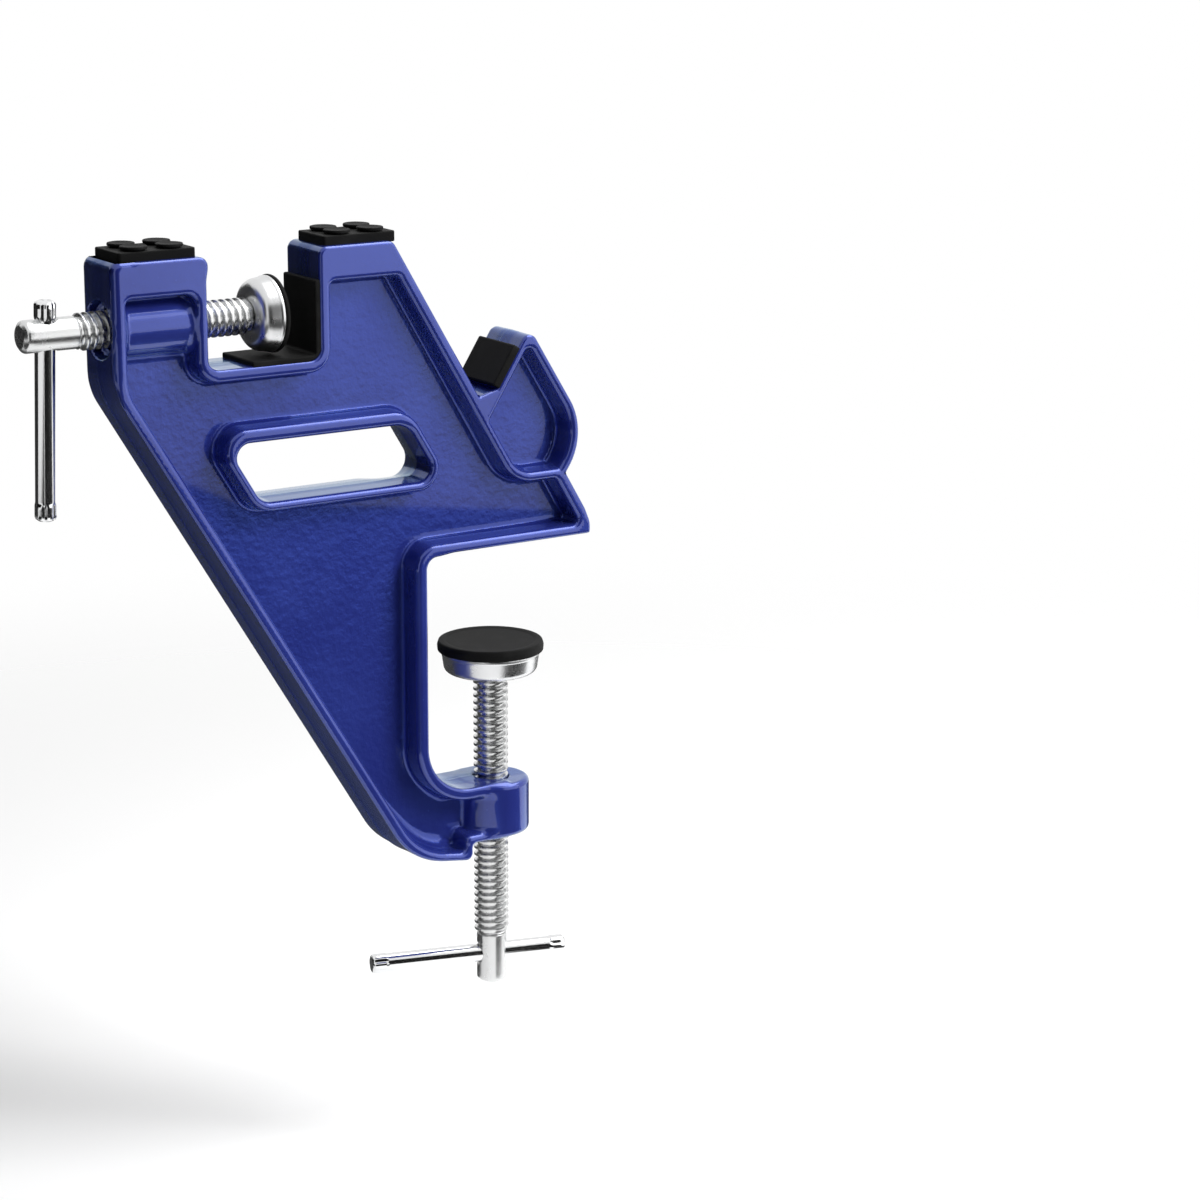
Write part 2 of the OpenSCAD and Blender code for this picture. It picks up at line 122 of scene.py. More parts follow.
# Bench throat, lug and foot of the casting
TOE_X = 34.3
TOE_R = 6.0
TOE_EDGE_R = 1.0
THROAT_X = 31.7
THROAT_H = 84.3
THROAT_R = 4.5
THROAT_LOW_R = 17.4
LEG_W = 19.5
LUG_R = 13.2
LUG_H = 19.0
LUG_CORNER_R = 0.5
HEEL_H = 25.1
HEEL_X = 14.4
HEEL_END_R = 2.0
HEEL_DEG = 8.5
HEEL_R = 27.0
FOOT_RIM_W = 2.3

# What the mould gives: draft, roundings, fillets and the parting ridge
OUTER_EDGE_R = 1.2
POST_EDGE_R = 2.7
RIM_EDGE_R = 1.8
WEB_FILLET_R = 1.3
FOOT_FILLET_R = 4.5
POCKET_DRAFT = 0.085
SLOT_RIM_DRAFT = 0.085
OUTER_DRAFT = 0.012
OUTER_EXTRA = 0.75
POST_EXTRA = 0.6
STOP_EXTRA = 0.1
PARTING_Y = 1.5
RIDGE_OUT = 0.12
RIDGE_HALF = 0.45
LEFT_RIDGE_OUT = 0.22
LEFT_RIDGE_HALF = 0.8
BOSS_FILLET_R = 2.0
LUG_FILLET_R = 1.6
LUG_EDGE_R = 1.8
BORE_EDGE_R = 0.5
SLOT_EDGE_R = 2.0
SLOT_PARTING_Y = -1.85
SLOT_FRONT_DRAFT = 0.05
SLOT_BACK_DRAFT = 0.09
SLOT_END_FRONT_DRAFT = 0.08
SLOT_END_BACK_DRAFT = 0.19

# Where one form of the casting fades into another: the start and the end of each change
LEFT_EDGE_FADE = (-12.0, -6.0)
SHOULDER_FADE = (-6.0, 6.0)
JAW_FLOOR_FADE = (-4.0, 4.0)
POST_FADE_Z = (0.0, 8.0)
POST_FADE_X = (5.0, 9.0)
SEAT_FADE_X = (4.0, 12.0)
SEAT_LOW_FADE = (-12.0, -6.0)
SEAT_HIGH_FADE = (4.0, 10.0)
STOP_FADE_X = (4.0, 8.0)
STOP_LOW_FADE = (0.0, 3.0)
STOP_HIGH_FADE = (-8.0, -3.0)
FOOT_FADE_X = (-24.0, -17.0)
FOOT_FADE_Z = (-98.0, -80.0)
SLOT_END_FADE = (-16.0, -6.0)
MOUTH_FADE = (-1.4, -0.2)

# Screws
THREAD_R = 6.0
THREAD_PITCH = 2.5
THREAD_DEPTH = 1.35
THREAD_GAP = 0.2
THREAD_FLANK = 0.82
THREAD_RUNOUT = 0.6
HEAD_R = 5.2
HEAD_END_IN = 1.6
HEAD_DOME = 0.15
HEAD_DOME_R = 0.8
HEAD_CORNER_H = 1.3
HEAD_CORNER_R = 1.4
EASE_R = 0.3
FLARE_L = 1.05
FLARE_OUT = 3.5
DRILL_OVER = 3.0
JOURNAL_R = 4.0
JOURNAL_L = 4.5
JAW_THREAD_L = 60.85
JAW_HEAD_L = 18.4
JAW_HOLE_L = 9.6
BENCH_THREAD_L = 95.5
BENCH_HEAD_L = 18.0
BENCH_HOLE_L = 7.5
END_GAP = 0.25

# Handle bars
BAR_R = 3.25
BAR_L = 70.2
CRIMP_OUT = 0.2
CRIMP_L = 5.3
CRIMP_EASE = 0.4
CRIMP_LEAST = 0.35
FLUTES = 6
FLUTE_DEPTH = 0.42
BAR_GAP = 0.1
STOP_GAP = 0.2
JAW_BAR_DEG = 4.7
BENCH_BAR_OUT = 26.5
BENCH_BAR_DEG = 16.0

# Feet
JAW_CUP_R = 12.4
JAW_CUP_H = 7.25
JAW_CUP_ROUND = 3.4
JAW_RUBBER_R = 12.74
JAW_RUBBER_T = 1.65
BENCH_CUP_R = 17.07
BENCH_CUP_H = 7.6
BENCH_CUP_ROUND = 2.4
BENCH_RUBBER_R = 18.4
BENCH_RUBBER_T = 3.7
CUP_T = 1.5
CUP_TAPER = 0.9
CUP_BORE_GAP = 0.4
CUP_INSIDE_R = 0.8
LIP_OUT = 0.25
LIP_LOW = 1.5
LIP_HIGH = 1.0
LIP_R = 0.4
LIP_TOP_R = 0.35
PLUG_L = 4.4
PLUG_R = 0.4
RUBBER_LIFT = 0.02
RUBBER_UNDER_IN = 0.15
RUBBER_UNDER_R = 0.5
RUBBER_BULGE = 0.55
RUBBER_SIDE_R = 1.0
RUBBER_EDGE_IN = 0.5
RUBBER_EDGE_R = 0.6
RUBBER_LAND_IN = 2.2
RUBBER_LAND_DROP = 0.02
RUBBER_FACE_IN = 3.2
RUBBER_FACE_DROP = 0.3
RUBBER_DISH = 0.32
JAW_OPEN = 9.75
BENCH_OPEN = 35.1

# Rubber pads
TOP_PAD_L = 26.6
TOP_PAD_W = 17.6
TOP_PAD_T = 3.5
TOP_PAD_IN = 2.4
TOP_PAD_R = 1.0
TOP_PAD_EDGE_R = 0.35
STUD_R = 4.4
STUD_T = 1.0
STUD_EDGE_R = 0.3
STUD_FILLET_R = 0.15
DISH = 0.28
DISH_IN = 0.8
NECK_R = 3.4
NECK_H = 0.4
NECK_FILLET_R = 0.25
STUD_STEP_X = 12.3
STUD_STEP_Y = 8.9
JAW_PAD_W = 21.6
JAW_PAD_T = 2.1
JAW_PAD_H = 26.4
JAW_PAD_L = 25.0
JAW_PAD_R = 1.0
PAD_EDGE_R = 0.5
PAD_BACK_R = 0.4
NOTCH_PAD_W = 22.4
NOTCH_PAD_T = 3.0
NOTCH_PAD_L = 15.3
NOTCH_PAD_IN = 9.2
NOTCH_PAD_TOP_R = 0.6
NOTCH_PAD_BACK_R = 0.3

# Camera, in millimetres and degrees, and its lens
CAMERA_PLACE = (-567.61, -913.59, 252.84)
CAMERA_HEADING = (0.53995, 0.80464, -0.24701)
CAMERA_ROLL_DEG = 0.253
CAMERA_LENS = 96.85
SENSOR_W = 36

# Studio, in metres
MIDDLE = (-0.05, 0, 0)
FLOOR_BELOW = 0.06
FLOOR_HALF = 6.0
FLOOR_CLEAR = (0.25, 0.9)
CARD_LIFT = 0.004
WALL = -1.7
WALL_TOP = 1.3
BACK_WALL = 1.5
WORLD_LIGHT = 0.08

# How finely a mesh is made
ARC_STEP_DEG = 11
TURNED_SIDES = 72
THREAD_SIDES = 56
HOLE_SIDES = 48
CUP_SIDES = 128
HEAD_RING_START = 0.6
HEAD_RING_STOP = 3

# Places that follow from the sizes
FLOOR_Z = TOP_Z - JAW_H
JAW_Z = FLOOR_Z + JAW_AXIS_H
POST_X = POST_W - LEFT_X
FACE_X = POST_X + JAW_W
RIGHT_TOP_X = FACE_X + RIGHT_POST_W
LUG_Z = -THROAT_H
LUG_LOW_Z = LUG_Z - LUG_H
HEEL_Z = LUG_Z - HEEL_H
JAW_FOOT_X = FACE_X - JAW_PAD_T - JAW_OPEN - JAW_RUBBER_T - JAW_CUP_H
BENCH_FOOT_Z = -BENCH_OPEN - BENCH_RUBBER_T - BENCH_CUP_H
FACE_Y = BODY_T / 2
THREAD_HOLE_R = THREAD_R + THREAD_GAP


# Plane geometry of the outlines, in x and z

def along(degrees):
    return np.array([math.cos(math.radians(degrees)), math.sin(math.radians(degrees))])


def unit(vector):
    return vector / np.linalg.norm(vector)


def inward(direction):
    """The inward side of an edge of a clockwise outline."""
    return np.array([direction[1], -direction[0]])


def cross(a, b):
    return a[0] * b[1] - a[1] * b[0]


def meet(p, d, q, e):
    """Where the line through p along d meets the line through q along e."""
    p, d, q, e = (np.asarray(v, float) for v in (p, d, q, e))
    return p + d * cross(q - p, e) / cross(d, e)


def walls(edges):
    """Corners moved inwards by a wall, from (corner, wall of the edge that leaves it, radius) triples."""
    corners = []
    for i, (here, wall, radius) in enumerate(edges):
        before, wall_before, _ = edges[i - 1]
        after = edges[(i + 1) % len(edges)][0]
        here, before, after = (np.asarray(v, float) for v in (here, before, after))
        d, e = unit(here - before), unit(after - here)
        point = meet(here + inward(d) * wall_before, d, here + inward(e) * wall, e)
        corners.append((point, radius))
    return corners


class Outline:
    """A closed clockwise outline with rounded corners, from (corner, radius) pairs."""

    def __init__(self, corners):
        corners = [(np.asarray(p, float), r) for p, r in corners]
        self.lines = []
        self.arcs = []
        ends = []
        for i, (here, radius) in enumerate(corners):
            u = unit(corners[i - 1][0] - here)
            v = unit(corners[(i + 1) % len(corners)][0] - here)
            half = math.acos(np.clip(u @ v, -1, 1)) / 2
            bulge = 1 if cross(u, v) > 0 else -1
            centre = here + unit(u + v) * radius / math.sin(half)
            run = radius / math.tan(half)
            self.arcs.append((centre, radius, unit(here - centre), math.sin(half), bulge))
            ends.append((here + u * run, here + v * run))
        for i, (_, start) in enumerate(ends):
            stop = ends[(i + 1) % len(ends)][0]
            heading = unit(corners[(i + 1) % len(corners)][0] - corners[i][0])
            self.lines.append((start, heading, max((stop - start) @ heading, 0)))

    def distance(self, x, z):
        """Signed distance to the outline, negative inside."""
        best = np.full(np.broadcast(x, z).shape, np.inf)
        for start, heading, length in self.lines:
            dx, dz = x - start[0], z - start[1]
            run = np.clip(dx * heading[0] + dz * heading[1], 0, length)
            side = dz * heading[0] - dx * heading[1]
            away = np.hypot(dx - run * heading[0], dz - run * heading[1])
            best = np.where(away < np.abs(best), np.copysign(away, side), best)
        for centre, radius, middle, reach, bulge in self.arcs:
            dx, dz = x - centre[0], z - centre[1]
            out = np.hypot(dx, dz)
            facing = dx * middle[0] + dz * middle[1] >= out * reach
            away = bulge * (out - radius)
            best = np.where(facing & (np.abs(away) < np.abs(best)), away, best)
        return best


# Solids as fields: a field is negative inside, and near its surface it is a distance

def both(a, b, radius):
    """The part inside a and b, with its edge rounded."""
    corner = np.hypot(np.maximum(radius + a, 0), np.maximum(radius + b, 0))
    return np.minimum(-radius, np.maximum(a, b)) + corner


def either(a, b, radius):
    """The part inside a or b, with a fillet between them."""
    corner = np.hypot(np.maximum(radius - a, 0), np.maximum(radius - b, 0))
    return np.maximum(radius, np.minimum(a, b)) - corner


def fade(value, between):
    """0 below two limits, 1 above them, smooth between."""
    low, high = between
    share = np.clip((value - low) / (high - low), 0, 1)
    return share * share * (3 - 2 * share)


def slopes(field, points, step):
    """Value and gradient of a field at points."""
    here = field(*points.T)
    rises = [field(*(points + step * side).T) - field(*(points - step * side).T) for side in np.eye(3)]
    return here, np.stack(rises, 1) / (2 * step)


def skin(field, axes, step=0.04, passes=2, furthest=0.6, least=0.25):
    """Points, quads and normals of the surface of a field, from its values on a grid."""
    value = field(*np.meshgrid(*axes, indexing="ij", sparse=True))
    inside = value < 0
    shape = np.array(value.shape) - 1
    window = [slice(0, n) for n in shape]
    count = sum(
        inside[tuple(slice(o, o + n) for o, n in zip(offset, shape))].astype(np.int8)
        for offset in product((0, 1), repeat=3)
    )
    cells = np.argwhere((count > 0) & (count < 8))
    number = np.full(shape, -1)
    number[tuple(cells.T)] = np.arange(len(cells))
    total = np.zeros((len(cells), 3))
    hits = np.zeros(len(cells))
    for axis in range(3):
        for offset in product((0, 1), repeat=2):
            low = cells.copy()
            others = [a for a in range(3) if a != axis]
            low[:, others] += offset
            high = low.copy()
            high[:, axis] += 1
            a, b = value[tuple(low.T)], value[tuple(high.T)]
            crossed = (a < 0) != (b < 0)
            share = np.where(crossed, a / np.where(crossed, a - b, 1), 0)
            ends = [np.stack([axes[k][corner[:, k]] for k in range(3)], 1) for corner in (low, high)]
            total += (ends[0] + (ends[1] - ends[0]) * share[:, None]) * crossed[:, None]
            hits += crossed
    points = total / hits[:, None]
    for _ in range(passes):
        here, rise = slopes(field, points, step)
        move = -here[:, None] * rise / np.maximum((rise ** 2).sum(1), least)[:, None]
        points = points + np.clip(move, -furthest, furthest)
    _, rise = slopes(field, points, step)
    normals = rise / np.maximum(np.linalg.norm(rise, axis=1), 1e-9)[:, None]

    quads = []
    for axis in range(3):
        lower = [slice(None)] * 3
        upper = [slice(None)] * 3
        lower[axis], upper[axis] = slice(0, -1), slice(1, None)
        a, b = inside[tuple(lower)], inside[tuple(upper)]
        others = [(axis + 1) % 3, (axis + 2) % 3]
        for into, flip in ((a & ~b, False), (~a & b, True)):
            edge = np.argwhere(into)
            edge = edge[(edge[:, others] > 0).all(1) & (edge[:, others] < shape[others]).all(1)]
            ring = []
            for du, dv in ((-1, -1), (0, -1), (0, 0), (-1, 0)):
                cell = edge.copy()
                cell[:, others[0]] += du
                cell[:, others[1]] += dv
                ring.append(number[tuple(cell.T)])
            quads.append(np.stack(ring[::-1] if flip else ring, 1))
    return points, np.concatenate(quads), normals


def span(low, high, before, after, step):
    """Even places along an axis, from a little before low to a little past high."""
    return np.arange(low - before, high + after, step)


def rows(low, high, coarse, fine, marks, reach):
    """Places along an axis, closer together near the marks."""
    places = [low]
    while places[-1] < high:
        near = min(abs(places[-1] - mark) for mark in marks) < reach
        places.append(places[-1] + (fine if near else coarse))
    return np.array(places)


# The casting's outlines

right_dir = along(-RIGHT_DEG)
flank_dir = along(FLANK_DEG)
fin_dir = along(-FIN_DEG)
left_deg = math.degrees(math.atan((SHOULDER_Z - LUG_Z) / (LEFT_X - THROAT_X - LEG_W)))
RIGHT = np.array([1.0, 0.0])
DOWN = np.array([0.0, -1.0])
right_top = np.array([RIGHT_TOP_X, TOP_Z])
notch = meet(right_top, right_dir, [-NOTCH_X, 0], DOWN)
tip = notch + FLANK_L * flank_dir
belly_c = meet(tip + BELLY_R * inward(fin_dir), fin_dir, [0, BELLY_Z], RIGHT)
waist = belly_c + BELLY_R * along(-BELLY_DEG)
toe = meet(waist, right_dir, [TOE_X, 0], DOWN)
knee = meet(right_top, right_dir, waist, RIGHT)
left_edge = np.array([-LEFT_X, SHOULDER_Z])
left_out = -inward(-along(-left_deg))
heel = meet(left_edge, along(-left_deg), [-HEEL_X, HEEL_Z], along(-HEEL_DEG))
belly_end_dir = inward(along(-BELLY_DEG))
belly_corner = meet(tip, fin_dir, waist, belly_end_dir)

outline = Outline([
    (waist, WAIST_R),
    (toe, TOE_R),
    ([TOE_X, 0], TOE_EDGE_R),
    ([-THROAT_X, 0], THROAT_R),
    ([-THROAT_X, LUG_Z], THROAT_LOW_R),
    ([0, LUG_Z], LUG_CORNER_R),
    ([0, LUG_LOW_Z], LUG_CORNER_R),
    ([-HEEL_X, LUG_LOW_Z], HEEL_END_R),
    ([-HEEL_X, HEEL_Z], HEEL_END_R),
    (heel, HEEL_R),
    (left_edge, SHOULDER_R),
    ([-LEFT_X, TOP_Z], TOP_R),
    ([POST_X, TOP_Z], TOP_R),
    ([POST_X, FLOOR_Z], JAW_R),
    ([FACE_X, FLOOR_Z], JAW_R),
    ([FACE_X, TOP_Z], TOP_R),
    (right_top, TOP_R),
    (notch - NOTCH_LOW_L * right_dir, NOTCH_R),
    (notch + NOTCH_STEP_L * flank_dir, NOTCH_R),
    (tip, TIP_R),
    (belly_corner, BELLY_R),
])

main_pocket = Outline(walls([
    ([-LEFT_X, TOP_Z], TOP_WALL, CORE_R),
    ([POST_X, TOP_Z], RIM_W, JAW_R),
    ([POST_X, FLOOR_Z], RIM_W, JAW_R + RIM_W),
    ([FACE_X, FLOOR_Z], RIM_W, JAW_R + RIM_W),
    ([FACE_X, TOP_Z], TOP_WALL, CORE_R),
    (right_top, RIM_W, CORE_R),
    (knee, RIB_W / 2, RIB_BEND_R),
    (waist, RIM_W, CORE_R),
    (meet(waist, right_dir, [0, 0], RIGHT), RIM_W, CORE_R),
    ([-THROAT_X, 0], RIM_W, THROAT_R + RIM_W),
    ([-THROAT_X, LUG_Z], RIM_W, THROAT_LOW_R + RIM_W),
    ([-THREAD_R, LUG_Z], 0, CORE_R),
    ([-THREAD_R, LUG_LOW_Z], FOOT_RIM_W, CORE_R),
    ([-HEEL_X, LUG_LOW_Z], FOOT_RIM_W, CORE_R),
    ([-HEEL_X, HEEL_Z], FOOT_RIM_W, CORE_R),
    (heel, RIM_W, HEEL_R - FOOT_RIM_W),
    (left_edge, RIM_W, SHOULDER_R - RIM_W),
]))

rib_side = right_top + inward(right_dir) * (RIM_W - RIB_W)
rib_top = [0, waist[1] + RIB_W / 2]
belly_in_r = BELLY_R - FIN_RIM_W
belly_in_deg = math.degrees(math.asin((BELLY_Z - rib_top[1]) / belly_in_r))
belly_in_end = belly_c + belly_in_r * along(-belly_in_deg)
flank_in = notch + inward(flank_dir) * FIN_RIM_W
fin_in = tip + inward(fin_dir) * FIN_RIM_W
belly_in_corner = meet(fin_in, fin_dir, belly_in_end, inward(along(-belly_in_deg)))
# Keeps the belly's inner arc a little shorter than its corner
ARC_SLACK = 0.01
fin_pocket = Outline([
    (belly_in_corner, belly_in_r - ARC_SLACK),
    (belly_in_end, FIN_LOW_R),
    (meet(rib_side, right_dir, rib_top, RIGHT), RIB_BEND_R - RIB_W),
    (meet(rib_side, right_dir, flank_in, flank_dir), CORE_R),
    (meet(flank_in, flank_dir, fin_in, fin_dir), CORE_R),
])

slot_lean = SLOT_H / 2 / math.tan(math.radians(left_deg))
slot_right = SLOT_W - SLOT_X
slot_corners = [
    ([-SLOT_X - slot_lean, SLOT_Z + SLOT_H / 2], SLOT_SHARP_R),
    ([slot_right - slot_lean, SLOT_Z + SLOT_H / 2], SLOT_HIGH_R),
    ([slot_right + slot_lean, SLOT_Z - SLOT_H / 2], SLOT_SHARP_R),
    ([-SLOT_X + slot_lean, SLOT_Z - SLOT_H / 2], SLOT_LOW_R),
]
slot = Outline(slot_corners)
slot_walls = [SLOT_TOP_RIM_W, SLOT_RIM_W, SLOT_RIM_W, SLOT_RIM_W]
slot_rim = Outline(walls([(p, -wall, r + SLOT_RIM_W) for (p, r), wall in zip(slot_corners, slot_walls)]))


# Added to a bore's field past its end, so that nothing is cut there
BORE_END = 50.0


def outer_skin(x, y, z):
    """The outline drawn through the depth, with draft, roundings and the parting ridge."""
    off_parting = np.abs(y - PARTING_Y)
    past_left = (x - left_edge[0]) * left_out[0] + (z - left_edge[1]) * left_out[1]
    low_left = fade(past_left, LEFT_EDGE_FADE) * (1 - fade(z - SHOULDER_Z, SHOULDER_FADE))
    ridge_out = RIDGE_OUT * (1 - fade(z - FLOOR_Z, JAW_FLOOR_FADE)) + (LEFT_RIDGE_OUT - RIDGE_OUT) * low_left
    ridge_half = RIDGE_HALF + (LEFT_RIDGE_HALF - RIDGE_HALF) * low_left
    ridge = RIDGE_OUT - ridge_out * np.exp(-(off_parting / ridge_half) ** 2)
    on_post = fade(z - SHOULDER_Z, POST_FADE_Z) * (1 - fade(x + LEFT_X, POST_FADE_X))
    edge_r = OUTER_EDGE_R + (POST_EDGE_R - OUTER_EDGE_R) * on_post
    at_seat = fade(x + THROAT_X, SEAT_FADE_X) * fade(z, SEAT_LOW_FADE) * (1 - fade(z, SEAT_HIGH_FADE))
    at_stop = fade(z - FLOOR_Z, STOP_LOW_FADE) * (1 - fade(z - TOP_Z, STOP_HIGH_FADE))
    at_stop = (1 - fade(np.abs(x - POST_X), STOP_FADE_X)) * at_stop
    extra = OUTER_EXTRA + (STOP_EXTRA - OUTER_EXTRA) * np.maximum(at_seat, at_stop) + POST_EXTRA * on_post
    edge = outline.distance(x, z) - extra + ridge + OUTER_DRAFT * off_parting
    return both(edge, np.abs(y) - FACE_Y, edge_r)


def pockets(x, y, z):
    """The pockets on both sides of the web, round the rim of the hand slot."""
    depth = np.abs(y)
    sunk = FACE_Y - depth
    hollow = np.minimum(main_pocket.distance(x, z), fin_pocket.distance(x, z)) + POCKET_DRAFT * sunk
    hollow = np.maximum(hollow, SLOT_RIM_DRAFT * sunk - slot_rim.distance(x, z))
    in_foot = (1 - fade(z, FOOT_FADE_Z)) * (1 - fade(x, FOOT_FADE_X))
    fillet_r = WEB_FILLET_R + (FOOT_FILLET_R - WEB_FILLET_R) * in_foot
    return both(hollow, WEB_T / 2 - depth, fillet_r)


def hand_slot(x, y, z):
    """The hand slot, with draft both ways from its own parting line."""
    off_parting = y - SLOT_PARTING_Y
    at_end = fade(x - slot_right, SLOT_END_FADE)
    front_draft = SLOT_FRONT_DRAFT + (SLOT_END_FRONT_DRAFT - SLOT_FRONT_DRAFT) * at_end
    back_draft = SLOT_BACK_DRAFT + (SLOT_END_BACK_DRAFT - SLOT_BACK_DRAFT) * at_end
    wider = np.where(off_parting < 0, -front_draft * off_parting, back_draft * off_parting)
    return slot.distance(x, z) + front_draft * (FACE_Y + SLOT_PARTING_Y) - wider


def jaw_bore(x, y, z):
    """The jaw screw's hole from the left face to the jaw, behind its cored mouth."""
    off_axis = np.hypot(y, z - JAW_Z)
    into = x + LEFT_X
    mouth = off_axis - RELIEF_R - (MOUTH_R - RELIEF_R) * (1 - fade(into - RIM_W, MOUTH_FADE))
    relief = both(mouth, into - RELIEF_L, BORE_EDGE_R)
    return np.minimum(relief, off_axis - THREAD_HOLE_R + BORE_END * (x > FACE_X))


def casting(x, y, z):
    """The cast frame as a field."""
    body = both(outer_skin(x, y, z), -pockets(x, y, z), RIM_EDGE_R)
    boss_ends = np.maximum(BOSS_IN - LEFT_X - x, x - POST_X + BOSS_IN)
    boss = np.maximum(np.hypot(y, z - JAW_Z) - BOSS_R, boss_ends)
    body = either(body, boss, BOSS_FILLET_R)
    off_bench = np.hypot(x, y)
    lug = both(off_bench - LUG_R, np.abs(z - (LUG_Z + LUG_LOW_Z) / 2) - LUG_H / 2, LUG_EDGE_R)
    body = either(body, lug, LUG_FILLET_R)
    body = both(body, -hand_slot(x, y, z), SLOT_EDGE_R)
    body = both(body, -jaw_bore(x, y, z), BORE_EDGE_R)
    bench_bore = off_bench - THREAD_HOLE_R + BORE_END * (z > LUG_Z + LUG_H)
    return both(body, -bench_bore, BORE_EDGE_R)


# Making objects

def place(x=0, y=0, z=0, turn=(0, 0, 0)):
    """A place in millimetres with a turn in degrees about x, y and z."""
    return Matrix.Translation((x, y, z)) @ Euler([math.radians(a) for a in turn]).to_matrix().to_4x4()


def new_object(name, points, faces, normals=None, at=Matrix(), sharp=35):
    """A mesh object from points in millimetres, shaded smooth but for edges sharper than an angle."""
    grid = np.asarray(points, float)
    turn = np.array(at.to_3x3())
    grid = (grid @ turn.T + np.array(at.translation)) * MM
    mesh = bpy.data.meshes.new(name)
    mesh.from_pydata(grid.tolist(), [], [list(map(int, face)) for face in faces])
    mesh.validate()
    mesh.shade_smooth()
    if normals is None:
        mesh.set_sharp_from_angle(angle=math.radians(sharp))
    else:
        mesh.normals_split_custom_set_from_vertices((np.asarray(normals) @ turn.T).tolist())
    thing = bpy.data.objects.new(name, mesh)
    bpy.context.scene.collection.objects.link(thing)
    return thing


def moulded(name, field, axes, at=Matrix()):
    """A piece made from a field."""
    points, quads, normals = skin(field, axes)
    return new_object(name, points, quads, normals, at)


def bent(chain):
    """Points of an open chain of (radius, height, corner radius) with its corners rounded."""
    points = [np.array(chain[0][:2], float)]
    for before, here, after in zip(chain, chain[1:], chain[2:]):
        p = np.array(here[:2], float)
        round_r = here[2] if len(here) > 2 else 0
        if not round_r:
            points.append(p)
            continue
        u = unit(np.array(before[:2]) - p)
        v = unit(np.array(after[:2]) - p)
        half = math.acos(np.clip(u @ v, -1, 1)) / 2
        centre = p + unit(u + v) * round_r / math.sin(half)
        start = p + u * round_r / math.tan(half) - centre
        sweep = -(math.pi - 2 * half) * np.sign(cross(u, v))
        steps = max(2, math.ceil(abs(sweep) / math.radians(ARC_STEP_DEG)))
        for i in range(steps + 1):
            a = sweep * i / steps
            c, s = math.cos(a), math.sin(a)
            points.append(centre + np.array([start[0] * c - start[1] * s, start[0] * s + start[1] * c]))
    points.append(np.array(chain[-1][:2], float))
    return points


def turned(profile, sides=TURNED_SIDES, shape=None):
    """Points and faces of a turned solid about z from (radius, height) pairs that go upwards outside."""
    angles = np.arange(sides) * 2 * math.pi / sides
    points, rings = [], []
    for radius, height in profile:
        if radius < 1e-6:
            rings.append([len(points)] * sides)
            points.append((0, 0, height))
            continue
        spread = radius + (shape(angles, height) if shape else 0 * angles)
        rings.append(list(range(len(points), len(points) + sides)))
        points.extend(zip(spread * np.cos(angles), spread * np.sin(angles), np.full(sides, float(height))))
    faces = []
    for low, high in zip(rings, rings[1:]):
        for i in range(sides):
            j = (i + 1) % sides
            face = [low[i], low[j], high[j], high[i]]
            face = [v for k, v in enumerate(face) if v != face[k - 1]]
            if len(face) > 2:
                faces.append(face)
    return points, faces


def thread(low, high, root, depth, pitch, sides=THREAD_SIDES, samples=12):
    """Points and faces of a right-hand thread about z between two heights, fading out at both ends."""
    turns = math.ceil((high - low) / pitch) + 1
    levels = np.arange(-samples, (turns + 1) * samples)
    phase = levels / samples
    form = np.clip(0.5 - THREAD_FLANK * np.cos(2 * math.pi * phase), 0, 1)
    form = form * form * (3 - 2 * form)
    share = np.arange(sides) / sides
    height = np.clip(low + pitch * (phase[:, None] + share[None, :]), low, high)
    runout = np.clip(np.minimum(height - low, high - height) / (THREAD_RUNOUT * pitch), 0, 1)
    radius = root + depth * form[:, None] * runout
    angle = 2 * math.pi * share[None, :]
    points = np.stack([radius * np.cos(angle), radius * np.sin(angle), height], 2).reshape(-1, 3)
    faces = []
    for k in range(len(levels) - samples - 1):
        for i in range(sides):
            j = (i + 1) % sides
            lifted = k + samples if j == 0 else k
            faces.append([k * sides + i, lifted * sides + j, (lifted + 1) * sides + j, (k + 1) * sides + i])
    return points, faces


def welded(thing, distance=0.004):
    """Joins points that coincide and drops the faces that this leaves without area."""
    work = bmesh.new()
    work.from_mesh(thing.data)
    bmesh.ops.remove_doubles(work, verts=work.verts, dist=distance * MM)
    bmesh.ops.dissolve_degenerate(work, edges=work.edges, dist=distance * MM)
    bmesh.ops.recalc_face_normals(work, faces=work.faces)
    work.to_mesh(thing.data)
    work.free()
    return thing


def drilled(thing, drill):
    """Cuts one object with another and removes the cutter."""
    cut = thing.modifiers.new("cut", "BOOLEAN")
    cut.object = drill
    cut.operation = "DIFFERENCE"
    cut.solver = "EXACT"
    bpy.context.view_layer.update()
    result = bpy.data.meshes.new_from_object(thing.evaluated_get(bpy.context.evaluated_depsgraph_get()))
    thing.modifiers.remove(cut)
    thing.data = result
    bpy.data.objects.remove(drill)
    return thing


def finished(thing, sharp=35):
    thing.data.shade_smooth()
    thing.data.set_sharp_from_angle(angle=math.radians(sharp))
    return thing


